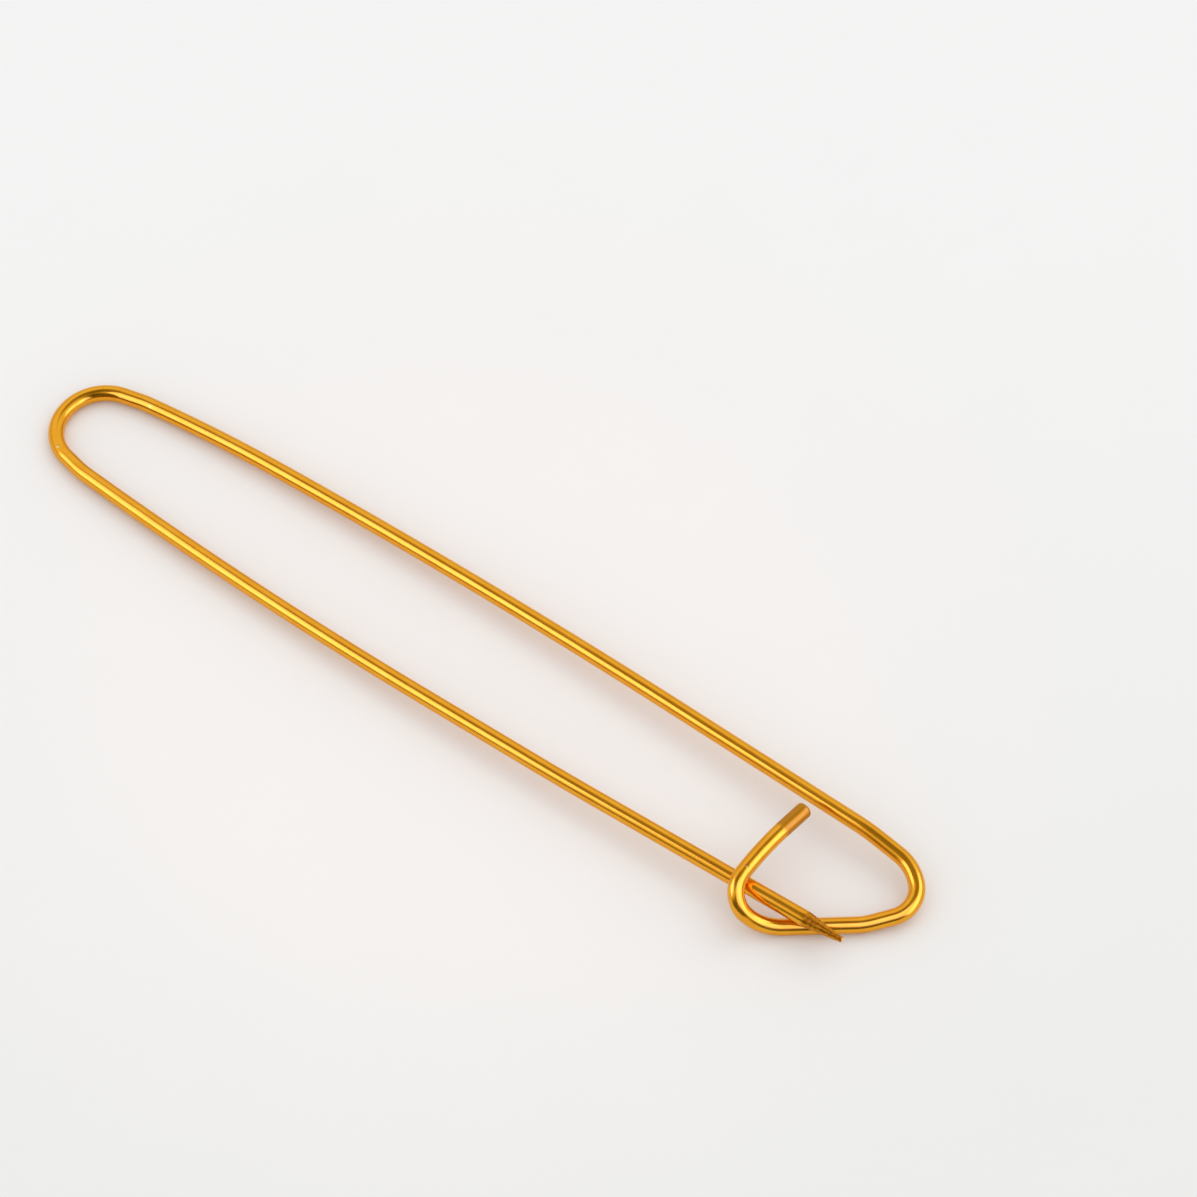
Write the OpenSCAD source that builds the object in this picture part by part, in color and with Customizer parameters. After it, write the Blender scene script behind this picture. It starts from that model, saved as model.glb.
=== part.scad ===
// Stitch holder: one length of round drawn wire bent into a long clasp pin.
// Millimetres. X runs along the holder, from the spring bend to the catch, and Z is up.
// It lies on the plane z = 0 on its spring bend and its rest bar, with the hook side up.
// "Along" is measured from the centreline of the spring bend, "across" from its middle.
// The needle arm is on the negative side and the back arm on the positive side.

/* [Wire] */
// Diameter of the drawn wire
wire_d = 2.5; // [2.2:0.1:2.7]
// Gap between the needle and the rest bar under it
rest_gap = 0.3; // [0.2:0.05:0.6]
// Gap allowed between the needle and the hook over it, where the hook is still climbing
hook_gap = 0.4; // [0.3:0.05:0.8]

/* [Spring bend] */
// Centreline radius of the spring bend
spring_r = 7.15; // [6.6:0.05:7.8]
// Angle at which the needle arm leaves the spring bend, in degrees
needle_flare = 13.25; // [11:0.25:15]
// Angle at which the back arm leaves the spring bend, in degrees
back_flare = 12.5; // [11:0.25:15]
// Centreline radius of the easing bend at each shoulder
shoulder_r = 14; // [10:1:16]
// Distance along to the shoulders
shoulder_x = 9.2; // [8.8:0.1:10]

/* [Needle arm] */
// Distance along to the middle of the strong bow
needle_bow_x = 44.5; // [42:0.5:48]
// Distance across to the middle of the strong bow
needle_bow_y = 10.85; // [10.6:0.05:11.1]
// Radius of the strong bow
needle_bow_r = 780; // [500:10:800]
// Distance along to the middle of the slight bow
needle_ease_x = 102; // [92:0.5:110]
// Distance across to the middle of the slight bow
needle_ease_y = 10.8; // [10.6:0.05:11]
// Radius of the slight bow
needle_ease_r = 620; // [400:10:900]

/* [Needle point] */
// Distance across to the tip of the needle
needle_tip_y = 9.85; // [9.2:0.05:10.2]
// Distance back to the tip from the far corner of the head
tip_back = 5.9; // [5:0.1:8]
// Length ground to a point
point_l = 6.4; // [5:0.1:8]
// Length from the nose to where the needle comes out from under the hook
catch_l = 21.4; // [20.5:0.1:23]
// Diameter of the blunt nose
nose_d = 0.8; // [0.5:0.05:1]
// Chamfer round the nose
nose_chamfer = 0.15; // [0.05:0.05:0.2]

/* [Back arm] */
// Distance along to the middle of the first bow
back_bow_x = 23; // [21:0.5:25]
// Distance across to the middle of the first bow
back_bow_y = 9.35; // [9.25:0.05:9.6]
// Radius of the first bow
back_bow_r = 270; // [200:10:280]
// Distance along to the middle of the long bow
back_ease_x = 72; // [70:0.5:78]
// Distance across to the middle of the long bow
back_ease_y = 10.45; // [10.3:0.05:10.7]
// Radius of the long bow
back_ease_r = 1200; // [900:50:1300]

/* [Head bend] */
// Distance along to the far corner of the head
far_x = 157; // [140:0.1:175]
// Distance across to that corner
far_y = 2.2; // [1.9:0.05:2.5]
// Centreline radius there
far_r = 4.6; // [4:0.1:4.6]
// Distance back from the far corner to the corner where the head begins
head_back = 13.5; // [12:0.1:15]
// Distance across to that corner
head_y = 7.75; // [7.6:0.05:8.2]
// Centreline radius there
head_in_r = 29; // [18:1:30]
// Distance back from the far corner to the upper corner
upper_back = 5.2; // [4.7:0.1:5.8]
// Distance across to that corner
upper_y = 7.05; // [6.8:0.05:7.2]
// Centreline radius there
upper_r = 7.3; // [5:0.1:7.3]
// Distance back from the far corner to the lower corner
lower_back = 5.7; // [5.2:0.1:6.1]
// Distance across to that corner
lower_y = 4.4; // [4.1:0.1:4.8]
// Centreline radius there
lower_r = 12.5; // [8:0.5:13]

/* [Catch] */
// Distance back from the far corner to the corner where the rest bar ends and the hook climbs
rest_end_back = 17.5; // [16:0.1:20]
// Distance across from the needle out to that corner
rest_end_past = 3.4; // [3.3:0.1:4]
// Centreline radius there
climb_r = 7.1; // [5:0.1:7.1]
// Distance along over which the hook climbs
climb_run = 5.6; // [5.5:0.1:6.3]
// Distance across from the needle out to the corner where the hook leg turns back over it
hook_past = 4.9; // [4.6:0.05:5.3]
// Centreline radius there
hook_r = 3.8; // [3.4:0.1:3.8]
// Distance along from the hook's corner back to the corner where its leg bows
leg_bow_back = 0.2; // [0:0.1:0.4]
// Distance across to that corner
leg_bow_y = 5; // [4.4:0.1:5.6]
// Centreline radius of the bow in the leg
leg_bow_r = 60; // [30:5:70]
// Distance along that the hook leg leans towards the head
leg_lean = 1.1; // [0.8:0.1:1.4]
// Distance across to the cut end of the hook leg
end_y = 4.1; // [2:0.1:4.4]
// Chamfer round the cut end
end_chamfer = 0.35; // [0.05:0.05:0.4]

/* [Movement] */
// Angle between the back arm and the axis that its release path turns about, in degrees
release_tilt = 9; // [8.5:0.5:10]
// Angle through which the needle arm can be squeezed in, in degrees
squeeze = 4; // [2:0.5:5]

/* [Hidden] */
$fa = 5;
$fs = 0.45;
gold = [0.89, 0.62, 0.13];

// Bending swells the wire a hair, so that each straight ends inside the face of its bend.
swell = 0.002;
wire_r = wire_d / 2;
drawn_r = wire_r - swell;
lap = 0.1;
// The shortest straight left between two bends
min_straight = 0.2;
// Straight left on each side of the flex length, on the spring bend and on the back arm
flex_before = 0.4;
flex_after = 0.2;
// Straight made with the head, ahead of its first bend
head_lead = 4;
// Straight made with the bends at both ends of the rest bar
bar_inset = 0.6;
// Length drawn past the leaning face of the release joint before it is cut there
face_lap = 0.5;

function unit(v) = v / norm(v);
function meet(a, b, c, d) =
  let (e = b - a, f = d - c, s = ((c.x - a.x) * f.y - (c.y - a.y) * f.x) / (e.x * f.y - e.y * f.x)) a + e * s;
function lift(p, z) = [p.x, p.y, z];

// Corners of the centreline seen from above
function root_y(flare) = spring_r * tan((90 - flare) / 2) + min_straight / 2;
function shoulder_y(flare) = root_y(flare) + shoulder_x * tan(flare);
tip2 = [far_x - tip_back, -needle_tip_y];
ease2 = [needle_ease_x, -needle_ease_y];
function needle_y(x) = ease2.y + (tip2.y - ease2.y) * (x - ease2.x) / (tip2.x - ease2.x);
head2 = [far_x - head_back, head_y];
upper2 = [far_x - upper_back, upper_y];
far2 = [far_x, far_y];
lower2 = [far_x - lower_back, -lower_y];
rest_end_x = far_x - rest_end_back;
rest2 = [rest_end_x, needle_y(rest_end_x) - rest_end_past];
hook_x = rest_end_x - climb_run;
hook2 = [hook_x, needle_y(hook_x) - hook_past];
leg_bow2 = [hook_x - leg_bow_back, -leg_bow_y];
end2 = [hook_x + leg_lean, end_y];

// Heights: both arms lie in one plane, which rises so that the needle clears the rest bar.
rest_cross = meet(tip2, ease2, lower2, rest2);
hook_cross = meet(tip2, ease2, hook2, leg_bow2);
rise = (wire_d + rest_gap) / rest_cross.x;
arms_up = unit([-rise, 0, 1]);
function in_arms(p) = lift(p, wire_r + rise * p.x);
hook_z = in_arms(hook_cross).z + wire_d + hook_gap;
// The head falls evenly from that plane down to the rest bar.
fall_1 = norm(upper2 - head2);
fall_2 = fall_1 + norm(far2 - upper2);
fall_3 = fall_2 + norm(lower2 - far2);
function fall_z(s) = in_arms(head2).z + (wire_r - in_arms(head2).z) * s / fall_3;

// Corners of the centreline from the tip of the needle to the cut end: name, place and radius
corners = [
  ["tip", in_arms(tip2), 0],
  ["needle ease", in_arms(ease2), needle_ease_r],
  ["needle bow", in_arms([needle_bow_x, -needle_bow_y]), needle_bow_r],
  ["needle shoulder", in_arms([shoulder_x, -shoulder_y(needle_flare)]), shoulder_r],
  ["needle root", in_arms([0, -root_y(needle_flare)]), spring_r],
  ["back root", in_arms([0, root_y(back_flare)]), spring_r],
  ["back shoulder", in_arms([shoulder_x, shoulder_y(back_flare)]), shoulder_r],
  ["back bow", in_arms([back_bow_x, back_bow_y]), back_bow_r],
  ["back ease", in_arms([back_ease_x, back_ease_y]), back_ease_r],
  ["head", in_arms(head2), head_in_r],
  ["upper", lift(upper2, fall_z(fall_1)), upper_r],
  ["far", lift(far2, fall_z(fall_2)), far_r],
  ["lower", lift(lower2, wire_r), lower_r],
  ["rest end", lift(rest2, wire_r), climb_r],
  ["hook", lift(hook2, hook_z), hook_r],
  ["leg bow", lift(leg_bow2, hook_z), leg_bow_r],
  ["end", lift(end2, hook_z), 0]
];
flat = [for (c = corners) c[1]];
radius = [for (c = corners) c[2]];
last_corner = len(flat) - 1;
dirs = [for (k = [0 : last_corner - 1]) unit(flat[k + 1] - flat[k])];
bends = [for (k = [0 : last_corner]) k == 0 || k == last_corner ? 0 : acos(dirs[k - 1] * dirs[k])];
wanted = [for (k = [0 : last_corner]) radius[k] * tan(bends[k] / 2)];
// Where two bends would run into each other, both are made a little tighter.
room = [
  for (k = [0 : last_corner - 1])
    min(1, (norm(flat[k + 1] - flat[k]) - min_straight) / (wanted[k] + wanted[k + 1]))
];
share = [for (k = [0 : last_corner]) k == 0 || k == last_corner ? 1 : min(room[k - 1], room[k])];
setback = [for (k = [0 : last_corner]) wanted[k] * share[k]];
straight = [for (k = [0 : last_corner - 1]) norm(flat[k + 1] - flat[k]) - setback[k] - setback[k + 1]];
normals = [for (k = [0 : last_corner]) k == 0 || k == last_corner ? [0, 0, 1] : unit(cross(dirs[k - 1], dirs[k]))];
function turn(k) =
  k + 1 >= last_corner
    ? 0
    : atan2(cross(normals[k], normals[k + 1]) * dirs[k], normals[k] * normals[k + 1]);

// The centreline round one corner, to find how far the holder reaches each way
function arc_point(k, t) =
  let (n = normals[k], u = dirs[k - 1], x = cross(n, u), r = radius[k] * share[k])
    flat[k] - u * setback[k] + x * r * (1 - cos(t)) + u * r * sin(t);
reach = [for (k = [1 : last_corner - 1]) for (i = [0 : 60]) arc_point(k, bends[k] * i / 60)];
mid_x = (max([for (p = reach) p.x]) + min([for (p = reach) p.x])) / 2;
mid_y = (max([for (p = reach) p.y]) + min([for (p = reach) p.y])) / 2;
path = [for (p = flat) p - [mid_x, mid_y, 0]];

// The straight lengths that the pieces meet in, found by the corner that each one starts from
function from_corner(name) = search([name], corners)[0];
shank = from_corner("tip");
needle_root = from_corner("needle shoulder");
back_root = from_corner("back root");
back_straight = from_corner("back ease");
bar = from_corner("lower");
leg = from_corner("leg bow");

// Where the pieces meet, measured from the start of that straight
squeeze_at = straight[needle_root] / 2;
flex_from = flex_before;
flex_to = straight[back_root] - flex_after;
head_from = straight[back_straight] - head_lead;
bar_from = bar_inset;
bar_to = straight[bar] - bar_inset;

// A frame at a distance along one straight, with Z along the wire and Y as given
module frame(k, s, y) {
  z = dirs[k];
  x = cross(y, z);
  o = path[k] + z * (setback[k] + s);
  multmatrix([[x.x, y.x, z.x, o.x], [x.y, y.y, z.y, o.y], [x.z, y.z, z.z, o.z], [0, 0, 0, 1]])
    children();
}

// The same, with Y square to the next bend
module at(k, s) {
  frame(k, s, normals[min(k + 1, last_corner - 1)])
    children();
}

// One bend, from the end of a straight that comes in along Z
module bend(k) {
  r = radius[k] * share[k];
  translate([r, 0, 0])
    rotate([90, 0, 180])
      rotate_extrude(angle = bends[k], $fa = r > 100 ? 0.35 : 5)
        translate([r, 0])
          circle(r = wire_r);
}

// The wire from a distance along straight k to a distance along straight last, bend after bend,
// with a chamfer round its far end
module wire(k, from, last, to, chamfer) {
  if (k == last && chamfer > 0)
    rotate_extrude()
      polygon([[0, from], [drawn_r, from], [drawn_r, to - chamfer], [drawn_r - chamfer, to], [0, to]]);
  else
    translate([0, 0, from])
      cylinder(r = drawn_r, h = (k == last ? to : straight[k] + lap) - from);
  if (k < last) {
    r = radius[k + 1] * share[k + 1];
    translate([0, 0, straight[k]]) {
      bend(k + 1);
      translate([r, 0, 0])
        rotate([0, bends[k + 1], 0])
          translate([-r, 0, 0])
            rotate([0, 0, turn(k + 1)])
              wire(k + 1, -lap, last, to, chamfer);
    }
  }
}

module length_of_wire(k, from, last, to, chamfer = 0) {
  at(k, 0)
    wire(k, from, last, to, chamfer);
}

// The half space on one side of the release joint's face, which leans by the release tilt
// so that it stays square to the axis of the release path
module release_half(side) {
  frame(back_root, flex_from, arms_up)
    rotate([-release_tilt, 0, 0])
      translate([-2 * wire_d, -2 * wire_d, side > 0 ? 0 : -wire_d])
        cube([4 * wire_d, 4 * wire_d, wire_d]);
}

// The tip of the needle, ground to a blunt nose, and the length that lies in the catch
module needle_point() {
  color(gold)
    at(shank, 0)
      rotate_extrude()
        polygon([
          [0, 0], [nose_d / 2 - nose_chamfer, 0], [nose_d / 2, nose_chamfer], [drawn_r, point_l],
          [drawn_r, catch_l], [0, catch_l]
        ]);
}

// The needle: the straight that takes the stitches, and the bowed length behind it.
// Its inner half is cut back at the root by the squeeze angle, so that it can swing in.
module needle_arm() {
  color(gold)
    difference() {
      length_of_wire(shank, catch_l, needle_root, squeeze_at);
      at(needle_root, squeeze_at)
        rotate([0, squeeze, 0])
          translate([0, -wire_d, 0])
            cube([2 * wire_d, 2 * wire_d, wire_d]);
    }
}

module spring_bend() {
  color(gold)
    difference() {
      length_of_wire(needle_root, squeeze_at, back_root, flex_from + face_lap);
      release_half(1);
    }
}

module flex_length() {
  color(gold)
    difference() {
      length_of_wire(back_root, flex_from - face_lap, back_root, flex_to);
      release_half(-1);
    }
}

module back_arm() {
  color(gold)
    length_of_wire(back_root, flex_to, back_straight, head_from);
}

module head_bend() {
  color(gold)
    length_of_wire(back_straight, head_from, bar, bar_from);
}

module rest_bar() {
  color(gold)
    length_of_wire(bar, bar_from, bar, bar_to);
}

// The hook climbs from the rest bar, turns back over the needle and ends in a plain cut.
module catch_hook() {
  color(gold)
    length_of_wire(bar, bar_to, leg, straight[leg], end_chamfer);
}

needle_point();
needle_arm();
spring_bend();
flex_length();
back_arm();
head_bend();
rest_bar();
catch_hook();
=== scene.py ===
"""Looks of the stitch holder: one smooth anodised wire drawn along the centreline of the solids.

Sizes are in millimetres until a mesh is made, and then in metres, in the frame of the solids.
"""

import math
from collections import namedtuple

import bpy
import numpy as np
from mathutils import Matrix, Vector


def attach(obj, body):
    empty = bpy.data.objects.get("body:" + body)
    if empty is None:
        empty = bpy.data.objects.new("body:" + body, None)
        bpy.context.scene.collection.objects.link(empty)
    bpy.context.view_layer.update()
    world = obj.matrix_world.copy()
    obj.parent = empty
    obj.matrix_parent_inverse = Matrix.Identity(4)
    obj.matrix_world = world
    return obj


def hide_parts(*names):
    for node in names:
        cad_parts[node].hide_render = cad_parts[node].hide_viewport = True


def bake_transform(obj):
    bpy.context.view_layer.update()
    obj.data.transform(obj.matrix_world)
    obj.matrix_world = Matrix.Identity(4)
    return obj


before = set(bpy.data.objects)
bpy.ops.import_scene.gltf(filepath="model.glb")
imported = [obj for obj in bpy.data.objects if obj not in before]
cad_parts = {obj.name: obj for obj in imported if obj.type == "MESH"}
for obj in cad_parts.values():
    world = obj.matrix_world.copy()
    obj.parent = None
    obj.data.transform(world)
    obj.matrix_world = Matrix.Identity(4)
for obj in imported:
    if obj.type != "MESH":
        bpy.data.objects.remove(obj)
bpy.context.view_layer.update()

MM = 0.001

# Sizes of the bent wire, as in the solids. A tuple is a corner's x, its y and its bend radius.
WIRE_D = 2.5
REST_GAP = 0.3
HOOK_GAP = 0.4
MIN_STRAIGHT = 0.2
SPRING_R = 7.15
NEEDLE_FLARE = math.radians(13.25)
BACK_FLARE = math.radians(12.5)
SHOULDER_X = 9.2
SHOULDER_R = 14
NEEDLE_BOW = (44.5, -10.85, 780)
NEEDLE_EASE = (102, -10.8, 620)
NEEDLE_TIP_Y = -9.85
TIP_BACK = 5.9
BACK_BOW = (23, 9.35, 270)
BACK_EASE = (72, 10.45, 1200)
FAR = (157, 2.2, 4.6)
HEAD_BACK, HEAD_Y, HEAD_R = 13.5, 7.75, 29
UPPER_BACK, UPPER_Y, UPPER_R = 5.2, 7.05, 7.3
LOWER_BACK, LOWER_Y, LOWER_R = 5.7, -4.4, 12.5
REST_END_BACK, REST_END_PAST, CLIMB_R = 17.5, 3.4, 7.1
CLIMB_RUN, HOOK_PAST, HOOK_R = 5.6, 4.9, 3.8
LEG_BOW_BACK, LEG_BOW_Y, LEG_BOW_R = 0.2, -5, 60
LEG_LEAN, END_Y = 1.1, 4.1
POINT_L = 6.4
CATCH_L = 21.4
NOSE_D = 0.8

# Where the pieces of wire meet, measured along the straight lengths between bends
FLEX_BEFORE = 0.4
FLEX_AFTER = 0.2
HEAD_LEAD = 4
BAR_INSET = 0.6

# Rounding of the nose and of the cut end
NOSE_ROUND = 0.2
END_ROUND = 0.55

# Small knocks in the wire: distance from the tip, angle round it (degrees), length, width and depth
KNOCKS = (
    (70.6, -40, 0.35, 0.25, 0.018),
    (118.3, -95, 0.4, 0.2, 0.016),
    (140.2, -35, 0.45, 0.3, 0.022),
    (147.25, -108, 0.35, 0.6, 0.035),
    (170.3, -54, 0.6, 0.25, 0.022),
    (212.15, -106, 0.5, 0.3, 0.024),
    (283, -142, 0.55, 0.35, 0.030),
    (332, -60, 0.4, 0.25, 0.018),
    (351.3, -122, 0.45, 0.4, 0.032),
)

# Depth of a knock from which the dye has chipped off it
CHIP_FROM = 0.012

# Flats that hand grinding left on the taper: angle round the wire (degrees), where along it, and depth
FLATS = (
    (-150, 2.0, 0.045),
    (-85, 3.4, 0.050),
    (-25, 2.3, 0.040),
    (45, 3.6, 0.045),
    (105, 2.2, 0.040),
    (165, 4.0, 0.040),
)
FLAT_LENGTH = 2.1
FLAT_HALF_ANGLE = math.radians(36)

# How finely the wire is drawn: sides, steps along bends and straights, and rings in short lengths
SIDES = 48
BEND_STEP = math.radians(2.5)
STRAIGHT_STEP = 0.8
TAPER_RINGS = 60
ROUNDING_RINGS = 8
BLEND_RINGS = 12
# Rings in the length of a knock, rings on either side of its middle, and the least gap between rings
KNOCK_RINGS = 8
KNOCK_SIDE_RINGS = 9
RING_GAP = 1e-4
# How many of its lengths a knock needs clear of a tube's ends, and how many away it stops counting
KNOCK_ROOM = 1.2
KNOCK_REACH = 2
# Step along the wire in which its box is measured, and how near to a span's start counts as in it
BOX_STEP = 0.1
SPAN_SLACK = 1e-9


def unit(v):
    return v / np.linalg.norm(v)


def turned(v, axis, angle):
    """v turned about a unit axis."""
    c, s = math.cos(angle), math.sin(angle)
    return v * c + np.cross(axis, v) * s + axis * (v @ axis) * (1 - c)


def crossing(a, b, c, d):
    """Where the lines a-b and c-d cross, seen from above."""
    e, f = b - a, d - c
    return a + e * ((c[0] - a[0]) * f[1] - (c[1] - a[1]) * f[0]) / (e[0] * f[1] - e[1] * f[0])


def root_y(flare):
    """How far from the middle an arm that flares by an angle has its corner of the spring bend."""
    return SPRING_R * math.tan(math.pi / 4 - flare / 2) + MIN_STRAIGHT / 2


def shoulder_y(flare):
    """How far from the middle that arm has its shoulder, where the flare ends."""
    return root_y(flare) + SHOULDER_X * math.tan(flare)


def plan():
    """The corners of the centreline seen from above, by name, from the tip to the cut end."""
    tip = np.array([FAR[0] - TIP_BACK, NEEDLE_TIP_Y])
    ease = np.array(NEEDLE_EASE[:2])

    def outside_needle(x, past):
        return np.array([x, ease[1] + (tip[1] - ease[1]) * (x - ease[0]) / (tip[0] - ease[0]) - past])

    rest_end = outside_needle(FAR[0] - REST_END_BACK, REST_END_PAST)
    hook = outside_needle(rest_end[0] - CLIMB_RUN, HOOK_PAST)
    return {
        "tip": tip,
        "needle ease": ease,
        "needle bow": np.array(NEEDLE_BOW[:2]),
        "needle shoulder": np.array([SHOULDER_X, -shoulder_y(NEEDLE_FLARE)]),
        "needle root": np.array([0, -root_y(NEEDLE_FLARE)]),
        "back root": np.array([0, root_y(BACK_FLARE)]),
        "back shoulder": np.array([SHOULDER_X, shoulder_y(BACK_FLARE)]),
        "back bow": np.array(BACK_BOW[:2]),
        "back ease": np.array(BACK_EASE[:2]),
        "head": np.array([FAR[0] - HEAD_BACK, HEAD_Y]),
        "upper": np.array([FAR[0] - UPPER_BACK, UPPER_Y]),
        "far": np.array(FAR[:2]),
        "lower": np.array([FAR[0] - LOWER_BACK, LOWER_Y]),
        "rest end": rest_end,
        "hook": hook,
        "leg bow": np.array([hook[0] - LEG_BOW_BACK, LEG_BOW_Y]),
        "end": np.array([hook[0] + LEG_LEAN, END_Y]),
    }


BEND_RADII = {
    "tip": 0,
    "needle ease": NEEDLE_EASE[2],
    "needle bow": NEEDLE_BOW[2],
    "needle shoulder": SHOULDER_R,
    "needle root": SPRING_R,
    "back root": SPRING_R,
    "back shoulder": SHOULDER_R,
    "back bow": BACK_BOW[2],
    "back ease": BACK_EASE[2],
    "head": HEAD_R,
    "upper": UPPER_R,
    "far": FAR[2],
    "lower": LOWER_R,
    "rest end": CLIMB_R,
    "hook": HOOK_R,
    "leg bow": LEG_BOW_R,
    "end": 0,
}


def heights(flat):
    """Heights of the corners: both arms rise in one plane, the head falls, and the hook passes over."""
    low = WIRE_D / 2
    over_bar = crossing(flat["tip"], flat["needle ease"], flat["lower"], flat["rest end"])
    rise = (WIRE_D + REST_GAP) / over_bar[0]
    under_hook = crossing(flat["tip"], flat["needle ease"], flat["hook"], flat["leg bow"])
    height = {name: low + rise * place[0] for name, place in flat.items()}
    falling = [flat[name] for name in ("head", "upper", "far", "lower")]
    fall = np.cumsum([np.linalg.norm(b - a) for a, b in zip(falling, falling[1:])])
    drop = (low - height["head"]) * fall / fall[-1]
    height["upper"] = height["head"] + drop[0]
    height["far"] = height["head"] + drop[1]
    height["lower"] = height["rest end"] = low
    hook = low + rise * under_hook[0] + WIRE_D + HOOK_GAP
    height["hook"] = height["leg bow"] = height["end"] = hook
    return height


# A straight or an arc: its distance from the tip, its beginning, its tangent and side vector there,
# and, for an arc, its axis and radius.
Span = namedtuple("Span", "start begin tangent side axis radius")


class Centreline:
    """The wire's centreline as straights and arcs, by distance from the tip."""

    def __init__(self, corners):
        """Corners are a name, a place and a bend radius each."""
        self.spans = []
        self.straights = {}
        self.length = 0.0
        names, places, radii = zip(*corners)
        dirs = [unit(b - a) for a, b in zip(places, places[1:])]
        turns = [0.0] + [math.acos(a @ b) for a, b in zip(dirs, dirs[1:])] + [0.0]
        back = [radius * math.tan(turn / 2) for radius, turn in zip(radii, turns)]
        side = unit(np.cross(dirs[0], [0, 0, 1]))
        for k, ahead in enumerate(dirs):
            length = np.linalg.norm(places[k + 1] - places[k]) - back[k] - back[k + 1]
            self.straights[names[k]] = (self.length, self.length + length)
            self.add(length, places[k] + ahead * back[k], ahead, side)
            if k + 1 < len(dirs):
                axis = unit(np.cross(ahead, dirs[k + 1]))
                radius, turn = radii[k + 1], turns[k + 1]
                self.add(radius * turn, places[k + 1] - ahead * back[k + 1], ahead, side, axis, radius)
                side = turned(side, axis, turn)
        self.centre()

    def add(self, length, begin, tangent, side, axis=None, radius=0):
        self.spans.append(Span(self.length, begin, tangent, side, axis, radius))
        self.length += length

    def centre(self):
        """Puts the middle of the wire's box over the origin, where the solids have theirs."""
        reach = np.array([self.at(s)[0] for s in np.arange(0, self.length, BOX_STEP)])
        middle = np.array([*((reach.min(0) + reach.max(0)) / 2)[:2], 0])
        self.spans = [span._replace(begin=span.begin - middle) for span in self.spans]

    def span(self, s):
        """The span that a distance from the tip falls in."""
        return next(span for span in reversed(self.spans) if s >= span.start - SPAN_SLACK)

    def at(self, s):
        """Point, tangent and a side vector that doesn't twist, at a distance from the tip."""
        start, begin, tangent, side, axis, r = self.span(s)
        along = s - start
        if axis is None:
            return begin + tangent * along, tangent, side
        a = along / r
        point = begin + np.cross(axis, tangent) * r * (1 - math.cos(a)) + tangent * r * math.sin(a)
        return point, turned(tangent, axis, a), turned(side, axis, a)

    def stations(self, s0, s1):
        """Distances at which rings are made: close in tight bends, wider elsewhere."""
        marks = sorted({s0, s1, *(span.start for span in self.spans if s0 < span.start < s1)})
        out = [s0]
        for a, b in zip(marks, marks[1:]):
            r = self.span((a + b) / 2).radius
            step = min(STRAIGHT_STEP, r * BEND_STEP) if r else STRAIGHT_STEP
            count = max(1, math.ceil((b - a) / step))
            out += [a + (b - a) * k / count for k in range(1, count + 1)]
        return out


def wire_line():
    """The centreline through all the corners."""
    flat = plan()
    height = heights(flat)
    places = {name: np.array([*place, height[name]]) for name, place in flat.items()}
    return Centreline([(name, place, BEND_RADII[name]) for name, place in places.items()])


line = wire_line()


def apart(a, b):
    """The smaller angle between two directions round the wire."""
    return abs((a - b + math.pi) % (2 * math.pi) - math.pi)


def knocked(s, a):
    """How far the small knocks press the surface in."""
    depth = 0
    for at, angle, length, width, deep in KNOCKS:
        if abs(s - at) < KNOCK_REACH * length:
            along = (s - at) / (length / 2)
            round_it = apart(a, math.radians(angle)) * WIRE_D / width
            depth += deep * math.exp(-along ** 2 - round_it ** 2)
    return depth


def with_knocks(stations):
    """The stations, with close rings where a knock is."""
    extra = {
        at + length * k / KNOCK_RINGS
        for at, _, length, _, _ in KNOCKS
        for k in range(-KNOCK_SIDE_RINGS, KNOCK_SIDE_RINGS + 1)
        if stations[0] < at - KNOCK_ROOM * length and at + KNOCK_ROOM * length < stations[-1]
    }
    out = sorted(set(stations) | extra)
    keep = [out[0]]
    for s in out[1:]:
        if s - keep[-1] > RING_GAP:
            keep.append(s)
    return keep


def plain(s, a):
    """Radius of the plain wire, at a distance from the tip and an angle round it."""
    return WIRE_D / 2


def rounded(depth, radius):
    """How far the rounding of a wire's end draws its surface in, at a depth from the face."""
    if depth >= radius:
        return 0
    return radius - math.sqrt(radius ** 2 - (radius - depth) ** 2)


def ground_off(s, a):
    """How far the flats of the taper lie under its cone."""
    deepest = 0
    for angle, at, depth in FLATS:
        across = 1 - (apart(a, math.radians(angle)) / FLAT_HALF_ANGLE) ** 2
        along = 1 - ((s - at) / FLAT_LENGTH) ** 2
        if across > 0 and along > 0:
            deepest = max(deepest, depth * math.sqrt(along) * across)
    return deepest


def point_radius(s, a):
    cone = NOSE_D / 2 + (WIRE_D - NOSE_D) / 2 * min(1, s / POINT_L)
    return cone - rounded(s, NOSE_ROUND) - ground_off(s, a)


def end_radius(s, a):
    return WIRE_D / 2 - rounded(line.length - s, END_ROUND)


def round_steps(radius):
    """Depths from a face at which rings are made to round its edge."""
    quarter = math.pi / 2
    return [radius * (1 - math.cos(quarter * k / ROUNDING_RINGS)) for k in range(ROUNDING_RINGS + 1)]


def wire_surface(stations, radius):
    """Points of the surface, the same on the unbent wire, and how far the dye has chipped off."""
    points, unbent, chipped = [], [], []
    for s in stations:
        centre, tangent, side = line.at(s)
        up = np.cross(tangent, side)
        for k in range(SIDES):
            a = 2 * math.pi * k / SIDES
            knock = knocked(s, a)
            r = radius(s, a) - knock
            points.append(tuple((centre + r * (side * math.cos(a) + up * math.sin(a))) * MM))
            unbent += (r * math.cos(a), r * math.sin(a), s)
            chipped.append(min(1, max(0, (knock - CHIP_FROM) / CHIP_FROM)))
    return points, unbent, chipped


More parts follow.
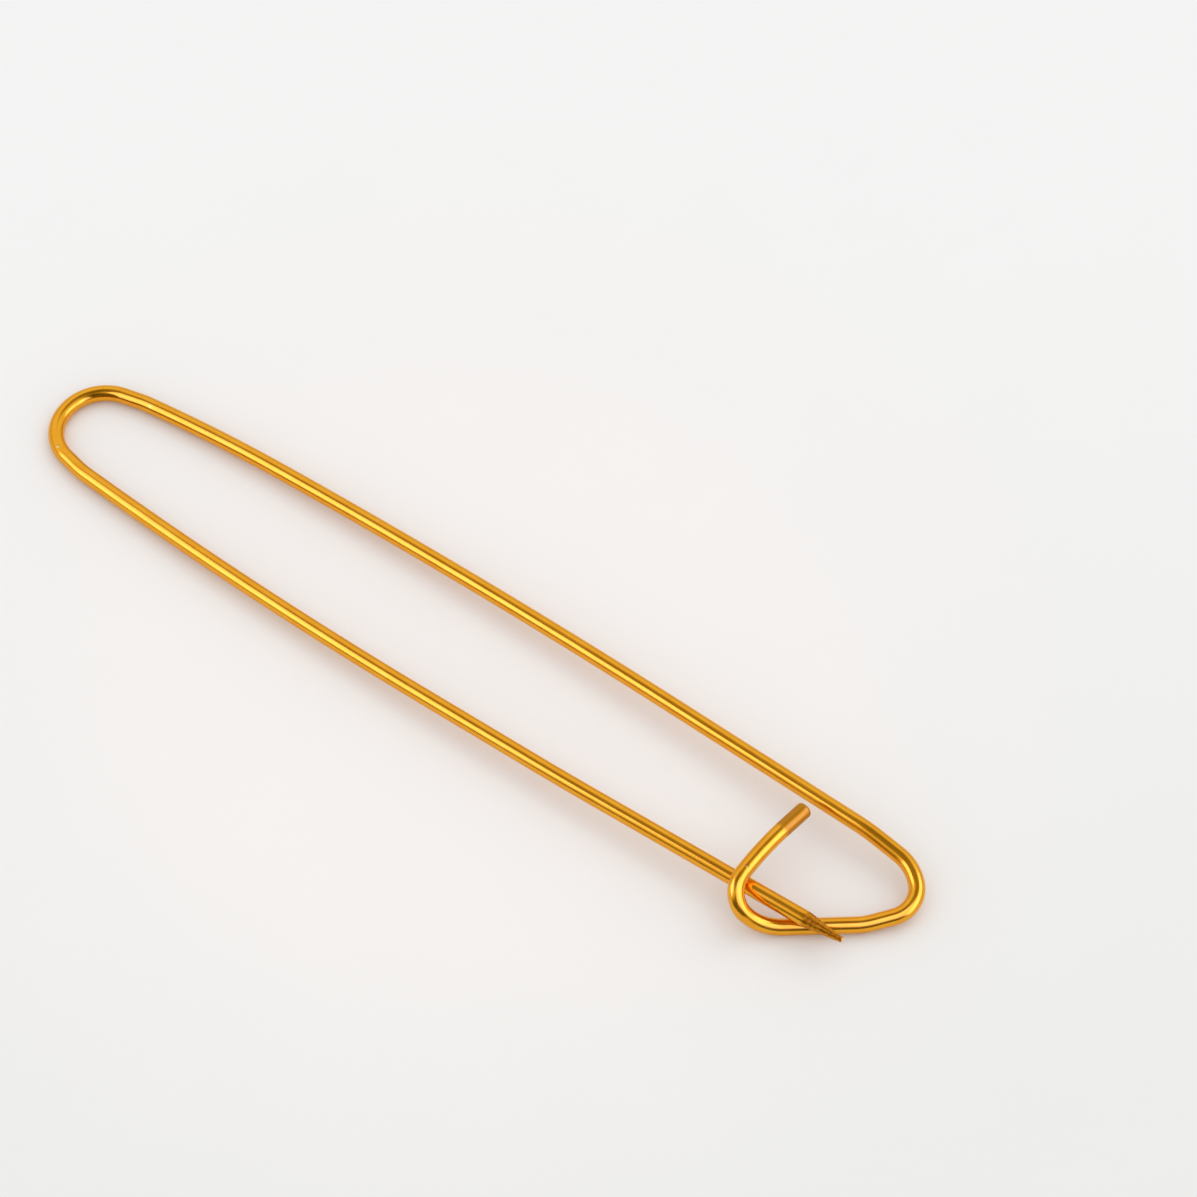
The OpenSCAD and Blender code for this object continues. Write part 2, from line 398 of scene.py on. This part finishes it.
def tube_faces(rings):
    """Faces between the rings, and then a cap at each end."""
    faces = []
    for i in range(rings - 1):
        for k in range(SIDES):
            n = (k + 1) % SIDES
            faces.append((i * SIDES + k, i * SIDES + n, (i + 1) * SIDES + n, (i + 1) * SIDES + k))
    faces.append(tuple(reversed(range(SIDES))))
    faces.append(tuple((rings - 1) * SIDES + k for k in range(SIDES)))
    return faces


def shade_smooth(mesh):
    """Smooth shading, apart from the two caps and their edges."""
    caps = mesh.polygons[-2:]
    mesh.polygons.foreach_set("use_smooth", [True] * len(mesh.polygons))
    for cap in caps:
        cap.use_smooth = False
    rim = {frozenset(key) for cap in caps for key in cap.edge_keys}
    sharp = mesh.attributes.new("sharp_edge", "BOOLEAN", "EDGE")
    sharp.data.foreach_set("value", [frozenset(e.vertices) in rim for e in mesh.edges])


def added(name, data):
    """A new object of the scene."""
    thing = bpy.data.objects.new(name, data)
    bpy.context.scene.collection.objects.link(thing)
    return thing


def tube(name, stations, radius, node):
    """A closed tube through the stations, of a radius that is a function of distance and angle."""
    stations = with_knocks(stations)
    points, unbent, chipped = wire_surface(stations, radius)
    mesh = bpy.data.meshes.new(name)
    mesh.from_pydata(points, [], tube_faces(len(stations)))
    shade_smooth(mesh)
    mesh.attributes.new("unbent", "FLOAT_VECTOR", "POINT").data.foreach_set("vector", unbent)
    mesh.attributes.new("chipped", "FLOAT", "POINT").data.foreach_set("value", chipped)
    mesh.materials.append(GOLD)
    piece = added(name, mesh)
    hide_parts(node)
    return piece


def joined(name, s0, s1, a, b, node, turn_back=False):
    """A short length of wire between two bodies."""
    stations = [s0 + (s1 - s0) * k / BLEND_RINGS for k in range(BLEND_RINGS + 1)]
    piece = tube(name, stations, plain, node)
    ends = [tuple(float(c) for c in line.at(s)[0] * MM) for s in (s0, s1)]
    if turn_back:
        ends.reverse()
    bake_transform(piece)


class Shader:
    """Short names for making nodes in the tree of a material, a lamp or the world."""

    def __init__(self, tree):
        self.tree = tree
        tree.nodes.clear()

    def node(self, kind, *inputs, **settings):
        n = self.tree.nodes.new(kind)
        for key, value in settings.items():
            setattr(n, key, value)
        for socket, value in zip(n.inputs, inputs):
            self.put(socket, value)
        return n

    def put(self, socket, value):
        if isinstance(value, bpy.types.NodeSocket):
            self.tree.links.new(value, socket)
        elif value is not None:
            socket.default_value = value

    def finish(self, kind, surface):
        """Ends the tree in an output node."""
        self.put(self.node(kind).inputs["Surface"], surface)

    def math(self, operation, *inputs):
        return self.node("ShaderNodeMath", *inputs, operation=operation).outputs[0]

    def times(self, a, b):
        return self.math("MULTIPLY", a, b)

    def total(self, first, *others):
        for value in others:
            first = self.math("ADD", first, value)
        return first

    def dot(self, a, b):
        return self.node("ShaderNodeVectorMath", a, b, operation="DOT_PRODUCT").outputs["Value"]

    def colour_mix(self, factor, a, b):
        n = self.node("ShaderNodeMix", data_type="RGBA")
        for name, value in (("Factor", factor), ("A", a), ("B", b)):
            self.put([i for i in n.inputs if i.name == name and i.enabled][0], value)
        return [o for o in n.outputs if o.enabled][0]

    def fade(self, value, start, end, low=0.0, high=1.0):
        """Runs smoothly from low at start to high at end."""
        return self.node("ShaderNodeMapRange", value, start, end, low, high,
                         interpolation_type="SMOOTHSTEP").outputs[0]


# Grain of the metal: its size across the wire and along it, and the fineness of its detail
GRAIN = {
    "lines": (0.09, 9.0, 2.0),
    "bands": (0.6, 22.0, 1.0),
    "haze": (1.6, 2.6, 3.0),
    "pits": (0.16, 0.22, 1.0),
    "scratches": (0.5, 0.4, 2.0),
}
# The range of the noise in which a grain comes in, and from what amount to what amount
HAZE_TONE = (0.3, 0.7)
LINE_TONE = (0.62, 0.8, 0.0, 0.25)
PIT_TONE = (0.68, 0.8, 0.0, 0.5)
SCRATCH_TONE = (0.3, 0.75)
BAND_ROUGHNESS = (0.3, 0.7, 0.12, 0.17)
LINE_ROUGHNESS = (0.4, 0.75, 0.0, 0.07)
HAZE_ROUGHNESS = (0.45, 0.8, 0.0, 0.05)
SCRATCH_ROUGHNESS = (0.3, 0.7, 0.12, 0.18)
PIT_HEIGHT = (0.68, 0.8, 0.0, -0.004)
LINE_HEIGHT = 0.0012
SCRATCH_HEIGHT = 0.003

# Colours of the metal: its dye where the haze is thin and thick, on drawn lines and in pits, the ground
# point between and on its scratches, the nose, the painted shade on the stretch at the cut end, and
# chips in the dye
DYE = ((0.83, 0.350, 0.008, 1), (0.87, 0.395, 0.015, 1))
LINE_DYE = (0.93, 0.46, 0.07, 1)
PIT_DYE = (0.55, 0.20, 0.01, 1)
GROUND_METAL = ((0.45, 0.145, 0.003, 1), (0.70, 0.275, 0.012, 1))
NOSE_METAL = (0.86, 0.60, 0.32, 1)
END_PAINTED_SHADE_COLOUR = (0.49, 0.195, 0.003, 1)
CHIPPED_METAL = (0.72, 0.62, 0.32, 1)

# Where the grinding begins to show, from the end of the taper, and where the bare metal of the nose
# does, in shares of the nose's rounding
GROUND_FADE = (0.25, -0.35)
NOSE_FADE = (0.5, 0.1)
# The stretch of wire at the cut end, which is rougher and darkened with painted shade where its
# highlight is missing: its length, where it fades in, and how far it darkens the colour and raises the
# roughness
DULL_AND_SHADED_END_L = 5.4
DULL_AND_SHADED_END_FADE = (-0.4, 0.6)
END_PAINTED_SHADE_SHARE = 0.9
DULL_ROUGHNESS = 0.25

# How metallic the wire is, and the tint of its edges and the clear skin that anodising leaves on it
METALLIC = 0.9
EDGE_TINT = (1.0, 0.90, 0.65, 1)
SKIN_WEIGHT = 0.3
SKIN_ROUGHNESS = 0.14


def new_material(name):
    """A material, and the shader that fills its tree."""
    material = bpy.data.materials.new(name)
    material.use_nodes = True
    return material, Shader(material.node_tree)


def streaks(sh, wire, across, along, detail):
    """Noise drawn out along the wire: the sizes of its grain in millimetres."""
    size = (1 / across, 1 / across, 1 / along)
    grain = sh.node("ShaderNodeVectorMath", wire, size, operation="MULTIPLY").outputs[0]
    noise = sh.node("ShaderNodeTexNoise", grain, None, 1.0, detail, noise_dimensions="3D")
    return noise.outputs["Fac"]


def metal_colour(sh, grain, along, ground, dull_and_painted_shade):
    """The dye, what shows where it is worn, ground or chipped off, and painted shade on the stretch at
    the cut end.
    """
    dye = sh.colour_mix(sh.fade(grain["haze"], *HAZE_TONE), *DYE)
    dye = sh.colour_mix(sh.fade(grain["lines"], *LINE_TONE), dye, LINE_DYE)
    dye = sh.colour_mix(sh.fade(grain["pits"], *PIT_TONE), dye, PIT_DYE)
    worn = sh.colour_mix(sh.fade(grain["scratches"], *SCRATCH_TONE), *GROUND_METAL)
    dye = sh.colour_mix(ground, dye, worn)
    nose = sh.fade(along, *(NOSE_ROUND * share for share in NOSE_FADE))
    dye = sh.colour_mix(nose, dye, NOSE_METAL)
    # Painted shade: the last stretch of the leg is darkened where its highlight is missing.
    dye = sh.colour_mix(sh.times(dull_and_painted_shade, END_PAINTED_SHADE_SHARE), dye, END_PAINTED_SHADE_COLOUR)
    chipped = sh.node("ShaderNodeAttribute", attribute_name="chipped").outputs["Fac"]
    return sh.colour_mix(chipped, dye, CHIPPED_METAL)


def metal_roughness(sh, grain, ground, dull_and_painted_shade):
    """The roughness of drawn wire, and what the grinding and the rougher stretch at the cut end add."""
    return sh.total(
        sh.fade(grain["bands"], *BAND_ROUGHNESS),
        sh.fade(grain["lines"], *LINE_ROUGHNESS),
        sh.fade(grain["haze"], *HAZE_ROUGHNESS),
        sh.times(ground, sh.fade(grain["scratches"], *SCRATCH_ROUGHNESS)),
        sh.times(dull_and_painted_shade, DULL_ROUGHNESS),
    )


def metal_bump(sh, grain, ground, drawn):
    """The relief of the grain, in millimetres, as a normal."""
    bump = sh.node("ShaderNodeBump", 1.0, MM)
    sh.put(bump.inputs["Height"], sh.total(
        sh.times(sh.times(grain["lines"], drawn), LINE_HEIGHT),
        sh.times(sh.fade(grain["pits"], *PIT_HEIGHT), drawn),
        sh.times(sh.times(grain["scratches"], ground), SCRATCH_HEIGHT),
    ))
    return bump.outputs[0]


def gold_material():
    """Gold dye under a clear anodised skin, on wire with fine drawing lines and a ground point."""
    material, sh = new_material("anodised_gold")
    wire = sh.node("ShaderNodeAttribute", attribute_name="unbent").outputs["Vector"]
    along = sh.node("ShaderNodeSeparateXYZ", wire).outputs["Z"]
    grain = {name: streaks(sh, wire, *sizes) for name, sizes in GRAIN.items()}
    ground = sh.fade(along, *(POINT_L + shift for shift in GROUND_FADE))
    drawn = sh.math("SUBTRACT", 1.0, ground)
    # The stretch at the cut end that gets painted shade and more roughness.
    dull_and_painted_shade = sh.fade(along, *(line.length - DULL_AND_SHADED_END_L + shift for shift in DULL_AND_SHADED_END_FADE))

    bsdf = sh.node("ShaderNodeBsdfPrincipled")
    for name, value in (
        ("Base Color", metal_colour(sh, grain, along, ground, dull_and_painted_shade)),
        ("Metallic", METALLIC),
        ("Roughness", metal_roughness(sh, grain, ground, dull_and_painted_shade)),
        ("Specular Tint", EDGE_TINT),
        ("Coat Weight", sh.times(drawn, SKIN_WEIGHT)),
        ("Coat Roughness", SKIN_ROUGHNESS),
        ("Normal", metal_bump(sh, grain, ground, drawn)),
    ):
        sh.put(bsdf.inputs[name], value)
    sh.finish("ShaderNodeOutputMaterial", bsdf.outputs[0])
    return material


# The photograph's left-to-right axis in the frame of the solids, as an azimuth
TURN = math.degrees(0.6238)

# The camera, in that frame
CAMERA_AT = (283.09, -359.07, 698.71)
CAMERA_TO = (8.73, 22.15, 0)
LENS = 168.1
SENSOR = 36
CAMERA_REACH_M = 100

# The floor: its extent, its colour far away, with painted shade near the camera and with painted warm
# light round the holder, and the distances (m) over which they run into each other
FLOOR_HALF = 4000
FLOOR_FAR = (0.892, 0.892, 0.888, 1)
FLOOR_NEAR_PAINTED_SHADE = (0.845, 0.845, 0.832, 1)
FLOOR_MIDDLE_PAINTED_LIGHT = (0.912, 0.884, 0.866, 1)
NEAR_TO_FAR_M = (-0.11, 0.11)
MIDDLE_OUTWARDS_M = (0.03, 0.11)
# Its faint mottle: scale and detail, the noise in which it comes in, and its colour
MOTTLE_GRAIN = (60.0, 3.0)
MOTTLE_TONE = (0.3, 0.7, 0.0, 0.012)
MOTTLE_GREY = (0.6, 0.6, 0.6, 1)

# The room that the metal mirrors: its level at the horizon and overhead, and from what height of a
# ray the second holds
ROOM_LEVELS = (0.59, 0.97)
ROOM_HIGH = 0.64
# Dark patches in it, each with its azimuth, elevation, width, height, soft edge and lean (degrees),
# and how far it darkens
DARK_PATCHES = (
    (144, 81, 68, 38, 5, -27, 0.7),
    (-100, 21, 96, 62, 13, 36, 0.89),
    (-61, 55, 26, 90, 12, -2, 0.76),
)
# Soft windows and lamps near it, in the photograph's frame (mm): place, width, height, the share of
# each half that fades, lean (degrees), and how bright each is
PANELS = (
    ("window_left", (-221, -53, 168), 222, 249, 0.16, -11, 1.4),
    ("window_right", (195, -64, 113), 321, 149, 0.08, -20, 1.41),
    ("lamp_front", (64, -113, 117), 122, 184, 0.64, 28, 1.65),
)
PANEL_AIM = (0, -10, 0)
# Tints of the room, of its dark patches and of the panels
ROOM_TINT = (1.0, 1.0, 0.85, 1)
DARK_TINT = (1.0, 0.80, 0.25, 1)
PANEL_TINT = (1.0, 1.06, 2.7)
# The plain light on the floor: an even level, and a soft key by its azimuth and elevation, its width
# (degrees) and its level
PLAIN_LEVEL = 0.945
KEY_FROM = (48, 50)
KEY_WIDTH = 42
KEY_LEVEL = 0.085
# Power that makes a square metre of panel as bright as a white surface renders
WATTS_PER_LEVEL = math.pi


def direction(azimuth, elevation):
    """A direction, by azimuth from the photograph's right and elevation, in degrees."""
    a, e = math.radians(azimuth + TURN), math.radians(elevation)
    return Vector((math.cos(e) * math.cos(a), math.cos(e) * math.sin(a), math.sin(e)))


def photo_frame(x, y, z):
    """A place given from the middle of the photograph, rightwards, away and up, in millimetres."""
    return (direction(0, 0) * x + direction(90, 0) * y + Vector(CAMERA_TO) + Vector((0, 0, z))) * MM


def leaning_axes(ahead, lean):
    """Sideways and upwards to someone who looks ahead with the head tilted, in degrees."""
    across = Vector((0, 0, 1)).cross(ahead).normalized()
    up = ahead.cross(across)
    c, s = math.cos(math.radians(lean)), math.sin(math.radians(lean))
    return across * c + up * s, up * c - across * s


def floor_material():
    """A pale sheet with painted shade that greys it towards the camera, painted warm light round the
    holder, and the faintest mottle.
    """
    material, sh = new_material("pale_floor")
    place = sh.node("ShaderNodeTexCoord").outputs["Object"]
    away = sh.dot(place, direction(90, 0))
    # Painted shade: the floor greys towards the camera.
    tone = sh.colour_mix(sh.fade(away, *NEAR_TO_FAR_M), FLOOR_NEAR_PAINTED_SHADE, FLOOR_FAR)
    out = sh.node("ShaderNodeVectorMath", place, operation="LENGTH").outputs["Value"]
    # Painted light: the floor is warmer and brighter round the holder.
    tone = sh.colour_mix(sh.fade(out, *MIDDLE_OUTWARDS_M), FLOOR_MIDDLE_PAINTED_LIGHT, tone)
    mottle = sh.node("ShaderNodeTexNoise", place, None, *MOTTLE_GRAIN).outputs["Fac"]
    tone = sh.colour_mix(sh.fade(mottle, *MOTTLE_TONE), tone, MOTTLE_GREY)
    bsdf = sh.node("ShaderNodeBsdfDiffuse", tone)
    sh.finish("ShaderNodeOutputMaterial", bsdf.outputs[0])
    return material


def make_floor():
    mesh = bpy.data.meshes.new("floor")
    h = FLOOR_HALF * MM
    mesh.from_pydata([(-h, -h, 0), (h, -h, 0), (h, h, 0), (-h, h, 0)], [], [(0, 1, 2, 3)])
    mesh.materials.append(floor_material())
    floor = added("floor", mesh)


def softbox(sh, ray, azimuth, elevation, width, height, soft, lean):
    """1 inside a rectangle of the sky, fading to 0 over its soft edge. Angles in degrees."""
    middle = direction(azimuth, elevation)
    ahead = sh.dot(ray, middle)
    inside = []
    for axis, size in zip(leaning_axes(middle, lean), (width, height)):
        angle = sh.math("ABSOLUTE", sh.math("ARCTAN2", sh.dot(ray, axis), ahead))
        inside.append(sh.fade(angle, math.radians(size / 2 + soft), math.radians(size / 2 - soft)))
    return sh.times(*inside)


def make_world():
    """A pale room with dark patches, which only the metal mirrors; all else has plain light."""
    world = bpy.data.worlds.new("studio")
    bpy.context.scene.world = world
    world.use_nodes = True
    sh = Shader(world.node_tree)
    ray = sh.node("ShaderNodeTexCoord").outputs["Generated"]
    level = sh.fade(sh.dot(ray, (0, 0, 1)), 0.0, ROOM_HIGH, *ROOM_LEVELS)
    lit = 1.0
    for *place, depth in DARK_PATCHES:
        shade = sh.times(softbox(sh, ray, *place), depth)
        lit = sh.times(lit, sh.math("SUBTRACT", 1.0, shade))
    tint = sh.colour_mix(lit, DARK_TINT, ROOM_TINT)
    studio = sh.node("ShaderNodeBackground", tint, sh.times(level, lit)).outputs[0]
    plain_light = sh.node("ShaderNodeBackground", (1, 1, 1, 1), PLAIN_LEVEL).outputs[0]
    glossy = sh.node("ShaderNodeLightPath").outputs["Is Glossy Ray"]
    mix = sh.node("ShaderNodeMixShader", glossy, plain_light, studio)
    sh.finish("ShaderNodeOutputWorld", mix.outputs[0])


def make_key():
    """The soft light from the far right that draws the shadows on the floor."""
    light = bpy.data.lights.new("key", "SUN")
    light.angle = math.radians(KEY_WIDTH)
    light.energy = KEY_LEVEL * math.pi
    key = added("key", light)
    key.rotation_euler = direction(*KEY_FROM).to_track_quat("Z", "Y").to_euler()
    key.visible_glossy = False


def fade_to_edges(light, soft):
    """Lets a panel's light fade over a share of each half, towards all its edges."""
    light.use_nodes = True
    sh = Shader(light.node_tree)
    across, up, _ = sh.node("ShaderNodeSeparateXYZ",
                            sh.node("ShaderNodeNewGeometry").outputs["Parametric"]).outputs
    fades = []
    for side in (across, up):
        from_middle = sh.math("ABSOLUTE", sh.math("MULTIPLY_ADD", side, 2.0, -1.0))
        fades.append(sh.fade(sh.math("SUBTRACT", 1.0, from_middle), 0.0, soft))
    emission = sh.node("ShaderNodeEmission", None, sh.times(*fades))
    sh.finish("ShaderNodeOutputLight", emission.outputs[0])


def make_panel(name, place, width, height, soft, lean, bright):
    """A rectangle of light that faces the holder and that only the metal mirrors."""
    light = bpy.data.lights.new(name, "AREA")
    light.shape = "RECTANGLE"
    light.size, light.size_y = width * MM, height * MM
    light.energy = bright * width * height * MM ** 2 * WATTS_PER_LEVEL
    light.color = PANEL_TINT
    fade_to_edges(light, soft)
    panel = added(name, light)
    at, aim = photo_frame(*place), photo_frame(*PANEL_AIM)
    facing = (aim - at).normalized()
    across, up = leaning_axes(facing, lean)
    turn = Matrix((-across, up, -facing)).transposed()
    panel.matrix_world = Matrix.Translation(at) @ turn.to_4x4()
    panel.visible_diffuse = False


def make_camera():
    data = bpy.data.cameras.new("camera")
    data.lens = LENS
    data.sensor_width = SENSOR
    data.clip_end = CAMERA_REACH_M
    camera = added("camera", data)
    place, target = (Vector(v) * MM for v in (CAMERA_AT, CAMERA_TO))
    camera.location = place
    camera.rotation_euler = (target - place).to_track_quat("-Z", "Y").to_euler()
    bpy.context.scene.camera = camera


def make_needle():
    """The ground point and the arm, and the arm's foot."""
    foot = line.straights["needle shoulder"]
    nose = round_steps(NOSE_ROUND)
    taper = [NOSE_ROUND + (POINT_L - NOSE_ROUND) * k / TAPER_RINGS for k in range(1, TAPER_RINGS + 1)]
    in_catch = line.stations(POINT_L, CATCH_L)[1:]
    point = tube("needle_point_wire", nose + taper + in_catch, point_radius, "needle_point")
    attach(point, "needle")
    arm = tube("needle_arm_wire", line.stations(CATCH_L, foot[0]), plain, "needle_arm")
    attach(arm, "needle")
    joined("needle_foot_wire", *foot, "bend", "needle", "needle_arm", turn_back=True)


def make_spring():
    """The spring bend, and the short length where the wire flexes, in two halves."""
    foot_end = line.straights["needle shoulder"][1]
    start, end = line.straights["back root"]
    middle = (start + FLEX_BEFORE + end - FLEX_AFTER) / 2
    bend = tube("spring_bend_wire", line.stations(foot_end, start), plain, "spring_bend")
    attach(bend, "bend")
    joined("flex_root_wire", start, middle, "bend", "flex", "flex_length")
    joined("flex_end_wire", middle, end, "flex", "catch", "flex_length")


def make_catch():
    """The back arm, the head, the bar that the needle rests on, and the hook with its leg."""
    arm_start = line.straights["back root"][1]
    head_start = line.straights["back ease"][1] - HEAD_LEAD
    bar_start, bar_end = line.straights["lower"]
    bar_start, bar_end = bar_start + BAR_INSET, bar_end - BAR_INSET
    for name, s0, s1, node in (
        ("back_arm_wire", arm_start, head_start, "back_arm"),
        ("head_bend_wire", head_start, bar_start, "head_bend"),
        ("rest_bar_wire", bar_start, bar_end, "rest_bar"),
    ):
        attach(tube(name, line.stations(s0, s1), plain, node), "catch")
    leg = line.stations(bar_end, line.length - END_ROUND)
    cut_end = [line.length - depth for depth in reversed(round_steps(END_ROUND)[:-1])]
    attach(tube("catch_hook_wire", leg + cut_end, end_radius, "catch_hook"), "catch")


GOLD = gold_material()
make_camera()
make_world()
make_key()
for panel in PANELS:
    make_panel(*panel)
make_floor()
make_needle()
make_spring()
make_catch()

bpy.context.scene.view_settings.view_transform = "Standard"
